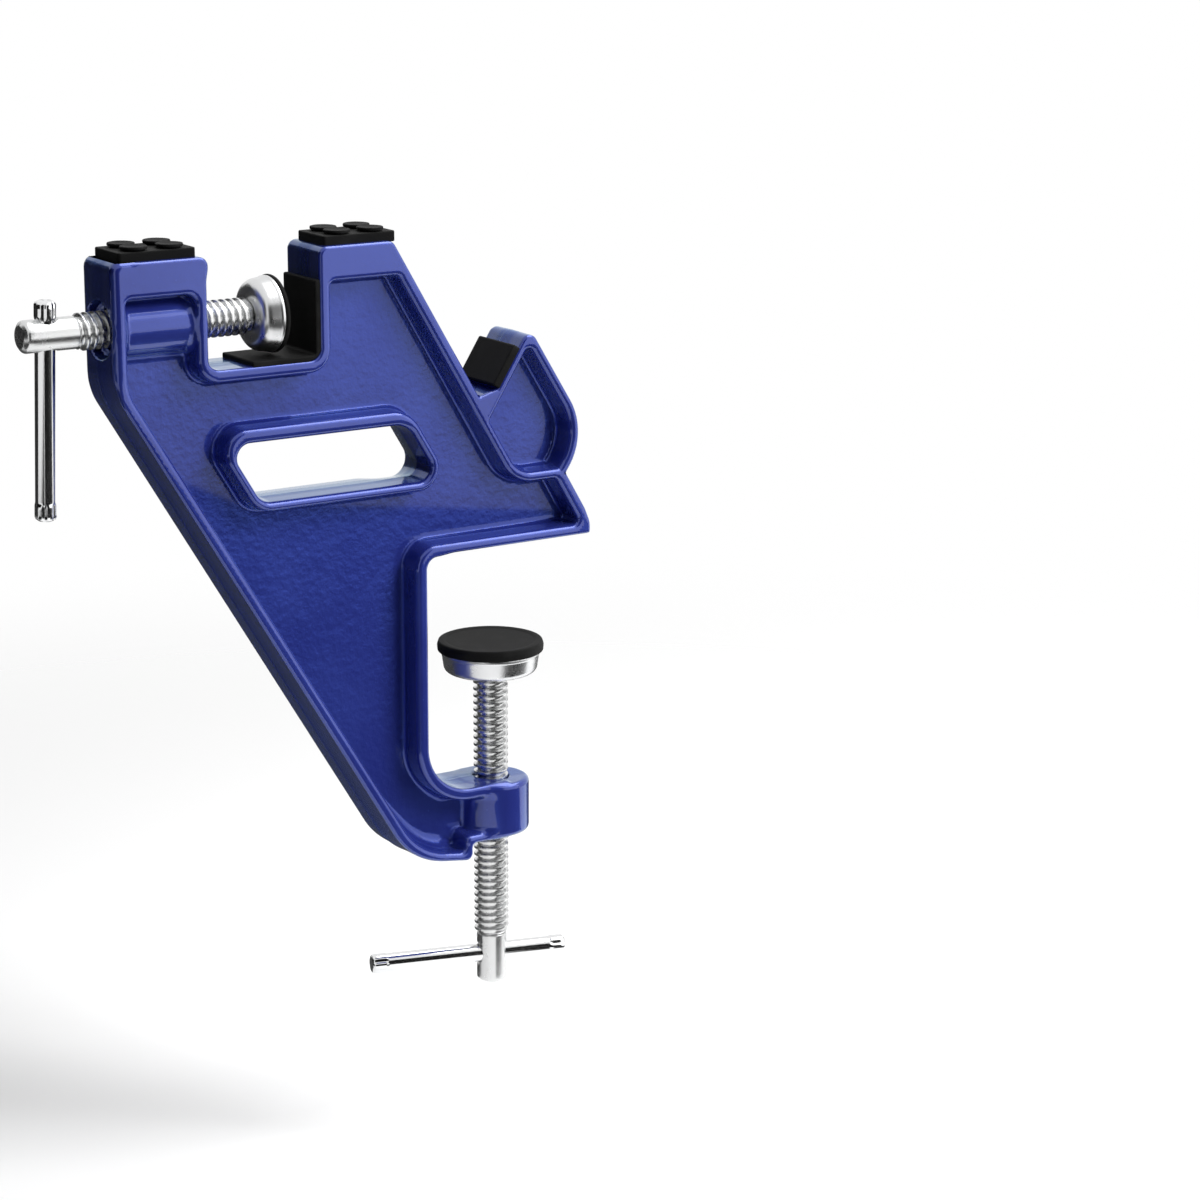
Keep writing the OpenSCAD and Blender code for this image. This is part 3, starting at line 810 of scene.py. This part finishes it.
def screw(name, thread_l, head_l, hole_l, at):
    """A spindle with its foot's end at the top: journal, thread, and a head with a cross hole."""
    root = THREAD_R - THREAD_DEPTH
    end = -thread_l - head_l
    rings = [(HEAD_R, -thread_l - HEAD_RING_START - i) for i in range(int(head_l - HEAD_RING_STOP))]
    head = turned(bent([
        (0, end),
        (HEAD_R - HEAD_END_IN, end + HEAD_DOME, HEAD_DOME_R),
        (HEAD_R, end + HEAD_CORNER_H, HEAD_CORNER_R),
        *reversed(rings),
        (HEAD_R, -thread_l, EASE_R),
        (root, -thread_l),
    ]), THREAD_SIDES)
    journal = turned(bent([
        (root, -END_GAP),
        (JOURNAL_R, -END_GAP),
        (JOURNAL_R, JOURNAL_L, EASE_R),
        (0, JOURNAL_L),
    ]), THREAD_SIDES)
    threads = thread(-thread_l, -END_GAP, root, THREAD_DEPTH, THREAD_PITCH)
    points, faces = [], []
    for part_points, part_faces in (head, threads, journal):
        offset = len(points)
        points.extend(np.asarray(part_points, float).tolist())
        faces.extend([[v + offset for v in face] for face in part_faces])
    spindle = welded(new_object(name, points, faces))
    hole_r = BAR_R + BAR_GAP
    reach = HEAD_R + DRILL_OVER
    drill_points, drill_faces = turned([
        (0, -reach),
        (hole_r + FLARE_OUT, -reach),
        (hole_r, FLARE_L - HEAD_R),
        (hole_r, HEAD_R - FLARE_L),
        (hole_r + FLARE_OUT, reach),
        (0, reach),
    ], HOLE_SIDES)
    across = place(z=-thread_l - hole_l, turn=(90, 0, 0))
    spindle = drilled(spindle, new_object(name + "_drill", drill_points, drill_faces, at=across))
    spindle.data.transform(Matrix.Scale(1 / MM, 4))
    spindle.data.transform(Matrix.Scale(MM, 4) @ at)
    return finished(spindle, sharp=40)


def bar(name, up, at):
    """A sliding bar along z with its upper end at a height, its ends crimped into shallow flutes."""
    low = up - BAR_L

    def crimp(angles, height):
        from_end = min(height - low, up - height)
        inner = np.clip((CRIMP_L + CRIMP_EASE - from_end) / (2 * CRIMP_EASE), 0, 1)
        outer = np.clip(from_end + CRIMP_EASE, CRIMP_LEAST, 1)
        flutes = 0.5 + 0.5 * np.cos(FLUTES * angles)
        return inner * outer * (CRIMP_OUT - FLUTE_DEPTH * flutes ** 3)

    rings = (0, 0.35, 1, 2, 3, 4, 4.7, 5.1, 5.5, 5.9, 6.3)
    drawn_in = {0: 0.6, 0.35: 0.22}
    lower = [(BAR_R - drawn_in.get(ring, 0), low + ring) for ring in rings]
    upper = [(radius, low + up - height) for radius, height in reversed(lower)]
    points, faces = turned([(0, low), *lower, *upper, (0, up)], shape=crimp)
    return new_object(name, points, faces, at=at, sharp=38)


# Shader values and finishes

class Value:
    """A socket of a node, with Python's operators as Math nodes."""

    def __init__(self, nodes, socket):
        self.nodes = nodes
        self.socket = socket

    def __add__(self, other):
        return self.nodes.maths("ADD", self, other)

    def __rsub__(self, other):
        return self.nodes.maths("SUBTRACT", other, self)

    def __mul__(self, other):
        return self.nodes.maths("MULTIPLY", self, other)

    def __pow__(self, other):
        return self.nodes.maths("POWER", self, other)

    def __abs__(self):
        return self.nodes.maths("ABSOLUTE", self)

    __radd__ = __add__
    __rmul__ = __mul__

    def ramp(self, low, high):
        """0 below low, 1 above high, smooth between."""
        settings = {"interpolation_type": "SMOOTHSTEP"}
        values = {"Value": self, "From Min": low, "From Max": high}
        return self.nodes.node("ShaderNodeMapRange", settings, values)


class Nodes:
    """The nodes of a finish or of the world."""

    def __init__(self, tree):
        self.tree = tree

    def node(self, kind, settings=None, values=None, out=0):
        """Adds a node: its settings first, then its sockets' values or links."""
        node = self.tree.nodes.new(kind)
        for name, setting in (settings or {}).items():
            setattr(node, name, setting)
        for socket, value in (values or {}).items():
            self.put(node.inputs[socket], value)
        return node if out is None else Value(self, node.outputs[out])

    def put(self, socket, value):
        if isinstance(value, Value):
            self.tree.links.new(value.socket, socket)
        else:
            socket.default_value = value

    def maths(self, operation, *values):
        return self.node("ShaderNodeMath", {"operation": operation}, dict(enumerate(values)))


class Finish(Nodes):
    """A procedural material built round one Principled shader."""

    def __init__(self, name, constants):
        self.material = bpy.data.materials.new(name)
        self.material.use_nodes = True
        super().__init__(self.material.node_tree)
        self.shader = self.tree.nodes["Principled BSDF"]
        for socket, value in constants.items():
            self.shader.inputs[socket].default_value = value
        self.place = self.node("ShaderNodeTexCoord", out="Object")
        split = self.node("ShaderNodeSeparateXYZ", values={0: self.place}, out=None)
        self.x, self.y, self.z = (Value(self, socket) for socket in split.outputs)

    def noise(self, size, detail=2.0, roughness=0.5):
        """Noise with a feature size in millimetres."""
        values = {"Vector": self.place, "Scale": 1 / (size * MM), "Detail": detail, "Roughness": roughness}
        return self.node("ShaderNodeTexNoise", values=values, out="Fac")

    def mix(self, share, a, b):
        """A colour between two colours."""
        values = {"Factor": share, 6: a, 7: b}
        return self.node("ShaderNodeMix", {"data_type": "RGBA"}, values, out=2)

    def bump(self, height, strength, distance, under=None):
        """A bump from a height between 0 and 1 that stands for a distance in millimetres."""
        values = {"Height": height, "Strength": strength, "Distance": distance * MM}
        if under is not None:
            values["Normal"] = under
        return self.node("ShaderNodeBump", values=values, out="Normal")

    def drive(self, socket, value):
        self.put(self.shader.inputs[socket], value)


def colour(red, green, blue):
    return (red, green, blue, 1.0)


def grey(level):
    return colour(level, level, level)


def paint():
    """Glossy blue enamel over the cast skin, with the mould's texture under it on the web."""
    finish = Finish("blue_enamel", {
        "IOR": 1.5,
        "Metallic": 0.45,
        "Coat Roughness": 0.03,
        "Specular IOR Level": 0.4,
        "Specular Tint": colour(0.25, 0.75, 1.0),
    })
    cloud = finish.noise(size=34, detail=3)
    fine = finish.noise(size=1.1)
    peel = finish.noise(size=2.6, detail=2.5, roughness=0.55)
    waves = finish.noise(size=15)
    on_web = 1 - abs(finish.y).ramp((WEB_T / 2 + 0.6) * MM, (WEB_T / 2 + 3.5) * MM)
    deep, light = colour(0.021, 0.030, 0.225), colour(0.027, 0.040, 0.26)
    finish.drive("Base Color", finish.mix(cloud.ramp(0.35, 0.7), deep, light))
    finish.drive("Roughness", 0.2 + 0.1 * fine)
    finish.drive("Coat Weight", (0.85 + 0.15 * cloud) * (1 - 0.45 * on_web))
    hammered = finish.bump(peel * (0.3 + 0.7 * on_web), strength=0.6, distance=0.3)
    finish.drive("Normal", finish.bump(waves, strength=0.35, distance=0.5, under=hammered))
    return finish.material


def rubber():
    """Matt black moulded rubber with a fine grain and a little dust."""
    finish = Finish("black_rubber", {"IOR": 1.5, "Specular IOR Level": 0.12})
    grain = finish.noise(size=0.35, detail=3, roughness=0.6)
    dust = finish.noise(size=7, detail=3)
    finish.drive("Base Color", finish.mix(dust.ramp(0.45, 0.75), grey(0.004), grey(0.008)))
    finish.drive("Roughness", 0.58 + 0.16 * grain)
    finish.drive("Normal", finish.bump(grain, strength=0.5, distance=0.08))
    return finish.material


def zinc():
    """Bright zinc plate on a rolled thread."""
    finish = Finish("zinc_plate", {"Metallic": 1.0})
    patches = finish.noise(size=3.5, detail=3)
    grain = finish.noise(size=0.4)
    finish.drive("Base Color", finish.mix(patches, colour(0.62, 0.625, 0.62), colour(0.74, 0.745, 0.75)))
    finish.drive("Roughness", 0.2 + 0.12 * patches)
    finish.drive("Normal", finish.bump(grain, strength=0.25, distance=0.05))
    return finish.material


def bright_metal(name, haze_size, dark, pale, roughness, haze_roughness):
    """Plated metal between two tones, with a faint haze that also dulls it."""
    finish = Finish(name, {"Metallic": 1.0})
    haze = finish.noise(haze_size, detail=3)
    finish.drive("Base Color", finish.mix(haze, dark, pale))
    finish.drive("Roughness", roughness + haze_roughness * haze)
    finish.drive("Normal", finish.bump(haze, strength=0.1, distance=0.05))
    return finish.material


def chrome():
    """Polished plate, as on the handle bars."""
    return bright_metal("bright_plate", 9, colour(0.76, 0.765, 0.77), colour(0.83, 0.835, 0.84), 0.1, 0.06)


def satin():
    """Plate left satin, as on the pressed cups."""
    return bright_metal("satin_plate", 6, colour(0.66, 0.665, 0.67), colour(0.73, 0.735, 0.74), 0.24, 0.08)


def spring_steel():
    """Oiled dark spring steel."""
    finish = Finish("spring_steel", {"Metallic": 1.0})
    grain = finish.noise(size=1.2, detail=3)
    finish.drive("Base Color", finish.mix(grain, colour(0.17, 0.17, 0.18), colour(0.24, 0.24, 0.25)))
    finish.drive("Roughness", 0.34 + 0.1 * grain)
    return finish.material


FINISHES = {
    "paint": paint(),
    "rubber": rubber(),
    "zinc": zinc(),
    "chrome": chrome(),
    "spring_steel": spring_steel(),
    "satin": satin(),
}


def fit(thing, node, body, slot_name, look=None):
    """Gives a piece its finish and lets it stand for a node on a body."""
    thing.data.materials.clear()
    thing.data.materials.append(FINISHES[look or slot_name])
    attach(thing, body)
    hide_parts(node)


# The pieces

def cast_frame():
    step = 0.85
    rim_mark = FACE_Y - 0.5
    web_mark = WEB_T / 2 + 0.9
    marks = (-rim_mark, -web_mark, web_mark, rim_mark, PARTING_Y)
    x = span(-LEFT_X, TOE_X, before=1.3, after=1.4, step=step)
    y = rows(-LUG_R - 0.7, LUG_R + 0.7, coarse=1.15, fine=0.42, marks=marks, reach=1.0)
    z = span(HEEL_Z, TOP_Z, before=1.1, after=1.2, step=step)
    fit(moulded("casting", casting, (x, y, z)), "cast_frame", "frame", "paint")


def top_pad(name, node, left):
    """A rubber plate with four round studs."""
    half_w = TOP_PAD_W / 2
    neck_z = TOP_PAD_T + NECK_H
    flat = Outline([
        ([0, half_w], TOP_PAD_R),
        ([TOP_PAD_L, half_w], TOP_PAD_R),
        ([TOP_PAD_L, -half_w], TOP_PAD_R),
        ([0, -half_w], TOP_PAD_R),
    ])

    def studded(x, y, z):
        plate = np.abs(z - TOP_PAD_T / 2) - TOP_PAD_T / 2
        body = both(flat.distance(x, y), plate, TOP_PAD_EDGE_R)
        for side_x, side_y in product((-1, 1), repeat=2):
            off = np.hypot(x - (TOP_PAD_L + side_x * STUD_STEP_X) / 2, y - side_y * STUD_STEP_Y / 2)
            neck = np.maximum(off - NECK_R, np.abs(z - TOP_PAD_T - NECK_H / 2) - NECK_H)
            body = either(body, neck, NECK_FILLET_R)
            dish = DISH * np.clip(1 - (off / (STUD_R - DISH_IN)) ** 2, 0, 1)
            half_t = (STUD_T - dish) / 2
            disc = both(off - STUD_R, np.abs(z - neck_z - half_t) - half_t, STUD_EDGE_R)
            body = either(body, disc, STUD_FILLET_R)
        return body

    marks = (0.1, TOP_PAD_T, TOP_PAD_T + 0.9, TOP_PAD_T + 1.5)
    x = span(0, TOP_PAD_L, before=0.4, after=0.8, step=0.45)
    y = span(-half_w, half_w, before=0.4, after=0.8, step=0.45)
    z = rows(-0.3, neck_z + STUD_T + 0.3, coarse=0.6, fine=0.22, marks=marks, reach=0.5)
    fit(moulded(name, studded, (x, y, z), place(left, 0, TOP_Z)), node, "frame", "rubber")


def rubber_strip(name, section, width, x, z, node, at=Matrix()):
    """A piece of one section in x and z, and of one width in y."""
    half = width / 2

    def strip(x, y, z):
        return both(section.distance(x, z), np.abs(y) - half, PAD_EDGE_R)

    y = rows(-half - 0.4, half + 0.4, coarse=1.4, fine=0.3, marks=(-half, half), reach=0.9)
    fit(moulded(name, strip, (x, y, z), at), node, "frame", "rubber")


def jaw_pad():
    """An L of rubber on the jaw's right wall and floor."""
    left, top = FACE_X - JAW_PAD_L, FLOOR_Z + JAW_PAD_H
    section = Outline([
        ([FACE_X, FLOOR_Z], JAW_R + JAW_PAD_T / 2),
        ([left, FLOOR_Z], PAD_BACK_R),
        ([left, FLOOR_Z + JAW_PAD_T], PAD_EDGE_R),
        ([FACE_X - JAW_PAD_T, FLOOR_Z + JAW_PAD_T], JAW_PAD_R),
        ([FACE_X - JAW_PAD_T, top], PAD_EDGE_R),
        ([FACE_X, top], PAD_BACK_R),
    ])
    x = span(left, FACE_X, before=0.5, after=0.6, step=0.42)
    z = span(FLOOR_Z, top, before=0.5, after=0.6, step=0.42)
    rubber_strip("jaw_liner", section, JAW_PAD_W, x, z, "jaw_pad")


def notch_pad():
    """A rubber block on the notch's right flank."""
    section = Outline([
        ([0, NOTCH_PAD_T], NOTCH_PAD_TOP_R),
        ([NOTCH_PAD_L, NOTCH_PAD_T], NOTCH_PAD_TOP_R),
        ([NOTCH_PAD_L, 0], NOTCH_PAD_BACK_R),
        ([0, 0], NOTCH_PAD_BACK_R),
    ])
    x = span(0, NOTCH_PAD_L, before=0.4, after=0.7, step=0.4)
    z = span(0, NOTCH_PAD_T, before=0.3, after=0.5, step=0.3)
    at = place(notch[0], 0, notch[1], (0, -FLANK_DEG, 0)) @ place(NOTCH_PAD_IN)
    rubber_strip("notch_liner", section, NOTCH_PAD_W, x, z, "notch_pad", at)


def cup(name, radius, height, round_r, node, body, at):
    """A pressed metal cup with its open side up and a small rolled lip."""
    bore = JOURNAL_R + CUP_BORE_GAP
    points, faces = turned(bent([
        (bore, CUP_T),
        (bore, 0, EASE_R),
        (radius - LIP_OUT - CUP_TAPER, 0, round_r),
        (radius - LIP_OUT, height - LIP_LOW, LIP_R),
        (radius, height - LIP_HIGH, LIP_R),
        (radius, height, LIP_TOP_R),
        (radius - CUP_T, height, EASE_R),
        (radius - CUP_T, CUP_T, CUP_INSIDE_R),
        (bore, CUP_T),
    ]), CUP_SIDES)
    fit(welded(new_object(name, points, faces, at=at)), node, body, "chrome", "satin")


def foot_rubber(name, radius, thickness, cup_r, cup_h, node, body, at):
    """The rubber face of a foot, with its plug inside the cup."""
    seat = cup_h + RUBBER_LIFT
    face = cup_h + thickness
    points, faces = turned(bent([
        (0, cup_h - PLUG_L),
        (cup_r - CUP_T, cup_h - PLUG_L, PLUG_R),
        (cup_r - CUP_T, seat),
        (radius - RUBBER_UNDER_IN, seat, RUBBER_UNDER_R),
        (radius, cup_h + thickness * RUBBER_BULGE, RUBBER_SIDE_R),
        (radius - RUBBER_EDGE_IN, face, RUBBER_EDGE_R),
        (radius - RUBBER_LAND_IN, face - RUBBER_LAND_DROP, RUBBER_SIDE_R),
        (radius - RUBBER_FACE_IN, face - RUBBER_FACE_DROP, RUBBER_SIDE_R),
        (0, face - RUBBER_DISH),
    ]), CUP_SIDES)
    fit(new_object(name, points, faces, at=at, sharp=60), node, body, "rubber")


def foot(which, at, cup_sizes, rubber_sizes):
    body = which + "_foot"
    cup(body + "_cup", *cup_sizes, which + "_cup", body, at)
    foot_rubber(body + "_rubber", *rubber_sizes, *cup_sizes[:2], which + "_rubber", body, at)


def spindle(which, thread_l, head_l, hole_l, turn_deg, at):
    at = at @ place(turn=(0, 0, turn_deg))
    made = screw(which + "_spindle_screw", thread_l, head_l, hole_l, at)
    fit(made, which + "_screw", which + "_spindle", "zinc")


def handle(which, up, hole_z, turn_deg, tilt_deg, at):
    at = at @ place(z=hole_z, turn=(0, 0, turn_deg)) @ place(turn=(0, tilt_deg, 0))
    fit(bar(which + "_handle_bar", up, at), which + "_bar", which + "_handle", "chrome")


cast_frame()
top_pad("left_rest", "left_top_pad", -LEFT_X + TOP_PAD_IN)
top_pad("right_rest", "right_top_pad", FACE_X + TOP_PAD_IN)
jaw_pad()
notch_pad()

on_jaw = place(JAW_FOOT_X, 0, JAW_Z, (0, 90, 0))
on_bench = place(0, 0, BENCH_FOOT_Z)
foot("jaw", on_jaw, (JAW_CUP_R, JAW_CUP_H, JAW_CUP_ROUND), (JAW_RUBBER_R, JAW_RUBBER_T))
foot("bench", on_bench, (BENCH_CUP_R, BENCH_CUP_H, BENCH_CUP_ROUND), (BENCH_RUBBER_R, BENCH_RUBBER_T))
spindle("jaw", JAW_THREAD_L, JAW_HEAD_L, JAW_HOLE_L, 90 + JAW_BAR_DEG, on_jaw)
spindle("bench", BENCH_THREAD_L, BENCH_HEAD_L, BENCH_HOLE_L, 90 - BENCH_BAR_DEG, on_bench)
handle("jaw", HEAD_R + STOP_GAP + CRIMP_L, -JAW_THREAD_L - JAW_HOLE_L, JAW_BAR_DEG, -90, on_jaw)
handle("bench", BENCH_BAR_OUT, -BENCH_THREAD_L - BENCH_HOLE_L, -BENCH_BAR_DEG, 90, on_bench)

for which, (kind, slot_name) in product(("jaw", "bench"), (("washer", "zinc"), ("clip", "spring_steel"))):
    hidden = frame["nodes"][which + "_" + kind].data
    hidden.materials.clear()
    hidden.materials.append(FINISHES[slot_name])


# Camera, floor and light

def camera():
    heading = Vector(CAMERA_HEADING)
    across = heading.cross(Vector((0, 0, 1))).normalized()
    up = across.cross(heading).normalized()
    c, s = math.cos(math.radians(CAMERA_ROLL_DEG)), math.sin(math.radians(CAMERA_ROLL_DEG))
    turn = Matrix((across * c + up * s, up * c - across * s, -heading.normalized())).transposed()
    data = bpy.data.cameras.new("camera")
    data.lens = CAMERA_LENS
    data.sensor_width = SENSOR_W
    data.clip_start = 0.01
    data.clip_end = 50
    eye = bpy.data.objects.new("camera", data)
    eye.matrix_world = Matrix.Translation(Vector(CAMERA_PLACE) * MM) @ turn.to_4x4()
    bpy.context.scene.collection.objects.link(eye)
    bpy.context.scene.camera = eye


def round_about(azimuth_deg, elevation_deg, distance):
    """A place round the vise in metres: azimuth 0 is in front and grows to the right."""
    a, e = math.radians(azimuth_deg), math.radians(elevation_deg)
    heading = Vector((math.sin(a) * math.cos(e), -math.cos(a) * math.cos(e), math.sin(e)))
    return heading * distance + Vector(MIDDLE)


def lamp(name, at, width, height, power, in_reflections=True, roll_deg=0.0):
    """A soft panel that faces the vise."""
    data = bpy.data.lights.new(name, "AREA")
    data.shape = "RECTANGLE"
    data.size = width
    data.size_y = height
    data.energy = power
    panel = bpy.data.objects.new(name, data)
    heading = (Vector(MIDDLE) - at).normalized()
    roll = Matrix.Rotation(math.radians(roll_deg), 4, "Z")
    panel.matrix_world = Matrix.Translation(at) @ heading.to_track_quat("-Z", "Y").to_matrix().to_4x4() @ roll
    panel.visible_camera = False
    panel.visible_glossy = in_reflections
    bpy.context.scene.collection.objects.link(panel)


def sheet(name, corners, finish, only_reflected=False):
    """A flat piece of the studio, seen by all or only in reflections."""
    mesh = bpy.data.meshes.new(name)
    mesh.from_pydata(corners, [], [(0, 1, 2, 3)])
    mesh.materials.append(finish.material)
    thing = bpy.data.objects.new(name, mesh)
    if only_reflected:
        thing.visible_camera = False
        thing.visible_diffuse = False
        thing.visible_shadow = False
        thing.visible_transmission = False
    bpy.context.scene.collection.objects.link(thing)


def card(name, corners, finish):
    sheet(name, corners, finish, only_reflected=True)


def dark_side():
    """The unlit parts of the room: black cards in front and at the left, grey ones behind."""
    low = cad_box[0][2] - FLOOR_BELOW + CARD_LIFT

    def matt(name, level):
        return Finish(name, {"Base Color": grey(level), "Roughness": 1.0, "Specular IOR Level": 0.0})

    def standing(start, end, top):
        return [(*start, low), (*end, low), (*end, top), (*start, top)]

    def lying(*places):
        return [(*at, low) for at in places]

    black = matt("black_card", 0.01)
    dim = matt("grey_card", 0.07)
    card("card_behind_camera", standing((-1.5, WALL), (2.4, WALL), WALL_TOP), black)
    card("card_on_floor", lying((-0.34, -0.36), (-1.5, WALL), (1.6, WALL), (0.42, -0.36)), black)
    card("card_near_right", lying((0.0, -0.14), (0.0, -0.37), (0.55, -0.37), (0.3, -0.1)), black)
    card("card_left_floor", lying((-0.4, 0.2), (-0.36, -0.34), (-0.74, -0.72), (-1.0, 0.2)), black)
    card("card_at_left", standing((WALL, -0.9), (WALL, BACK_WALL), WALL_TOP), black)
    card("card_behind_left", standing((WALL, BACK_WALL), (-0.45, BACK_WALL), 0.7), dim)
    card("card_low_left", lying((WALL, 0.35), (-0.35, 0.35), (-0.35, BACK_WALL), (WALL, BACK_WALL)), dim)
    card("card_behind", lying((-0.35, 0.1), (0.5, 0.1), (0.5, 0.8), (-0.35, 0.8)), dim)
    card("card_up_behind", standing((-0.45, 0.8), (0.1, 0.8), 0.15), dim)


def floor():
    """A wide pale floor under the vise, clear beyond its shadow."""
    finish = Finish("pale_floor", {"Roughness": 0.9, "Specular IOR Level": 0.1})
    mottle = finish.noise(size=300)
    finish.drive("Base Color", finish.mix(mottle, grey(0.93), grey(0.94)))
    out = (finish.x * finish.x + finish.y * finish.y) ** 0.5
    finish.drive("Alpha", 1 - out.ramp(*FLOOR_CLEAR))
    z = cad_box[0][2] - FLOOR_BELOW
    corners = [(x * FLOOR_HALF, y * FLOOR_HALF, z) for x, y in ((-1, -1), (1, -1), (1, 1), (-1, 1))]
    sheet("floor", corners, finish)


def world():
    """Soft surroundings: white to the camera, to reflections and through glass, dim as a light."""
    surroundings = bpy.data.worlds.new("studio")
    surroundings.use_nodes = True
    nodes = Nodes(surroundings.node_tree)
    rays = nodes.node("ShaderNodeLightPath", out=None).outputs
    seen = 0
    for ray in ("Is Camera Ray", "Is Glossy Ray", "Is Transmission Ray"):
        seen = nodes.maths("MAXIMUM", seen, Value(nodes, rays[ray]))
    back = nodes.tree.nodes["Background"]
    nodes.put(back.inputs["Strength"], WORLD_LIGHT + (1 - WORLD_LIGHT) * seen)
    nodes.put(back.inputs["Color"], grey(1.0))
    bpy.context.scene.world = surroundings


camera()
floor()
world()
dark_side()
lamp("right_panel", round_about(38, 14.5, 0.95), width=0.85, height=1.05, power=4.3, roll_deg=-23)
lamp("top_panel", round_about(80, 60, 1.4), width=1.2, height=1.0, power=17)
lamp("key", round_about(38, 38, 1.6), width=0.7, height=0.7, power=28, in_reflections=False)

view = bpy.context.scene.view_settings
view.view_transform = "Standard"
